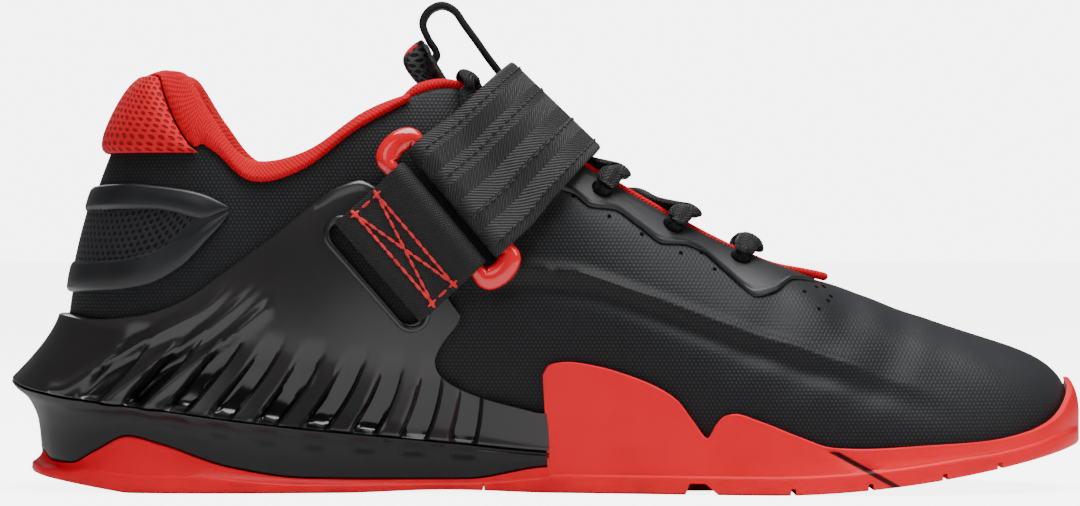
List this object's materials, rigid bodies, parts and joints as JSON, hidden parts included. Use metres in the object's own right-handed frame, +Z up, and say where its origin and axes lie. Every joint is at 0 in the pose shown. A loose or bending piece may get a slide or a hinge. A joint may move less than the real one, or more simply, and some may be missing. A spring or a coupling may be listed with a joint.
{
  "type": "weightlifting shoe",
  "caption": "Left weightlifting shoe with a raised heel, glossy ribbed heel shell, laced black upper, red outsole and collar, and an instep strap drawn through a red ring.",
  "frame": {"origin": "bottom centre of the bounding box, on the floor the shoe stands on", "axes": "+X towards the toe, -Y towards the inner side of the foot, +Z up"},
  "size_m": [0.3, 0.1068, 0.1363],
  "materials": {
    "red_rubber": "satin red rubber",
    "black_foam": "satin black moulded wedge",
    "gloss_black": "glossy black moulded shell",
    "black_textile": "fine woven upper with a soft sheen",
    "black_film": "smooth fused film",
    "black_mesh": "open black mesh",
    "red_knit": "soft red knit lining",
    "black_webbing": "woven black webbing and lace",
    "gloss_red": "glossy red ring"
  },
  "bodies": {
    "root": {"outsole": "red_rubber", "midsole": "black_foam", "upper": "black_textile", "insole": "red_knit", "heel_clip": "gloss_black", "counter_panel": "black_film", "heel_tab": "red_knit", "collar_roll": "red_knit", "throat_binding": "red_knit", "eyestay_inner": "black_film", "eyestay_outer": "black_film", "tongue": "black_mesh", "pull_loop": "black_webbing", "strap_ring": "gloss_red", "ring_webbing": "black_webbing", "strap": "black_webbing", "lace_cross_1": "black_webbing", "lace_cross_2": "black_webbing", "lace_cross_3": "black_webbing", "lace_top": "black_webbing", "lace_bottom": "black_webbing"}
  },
  "joints": []
}
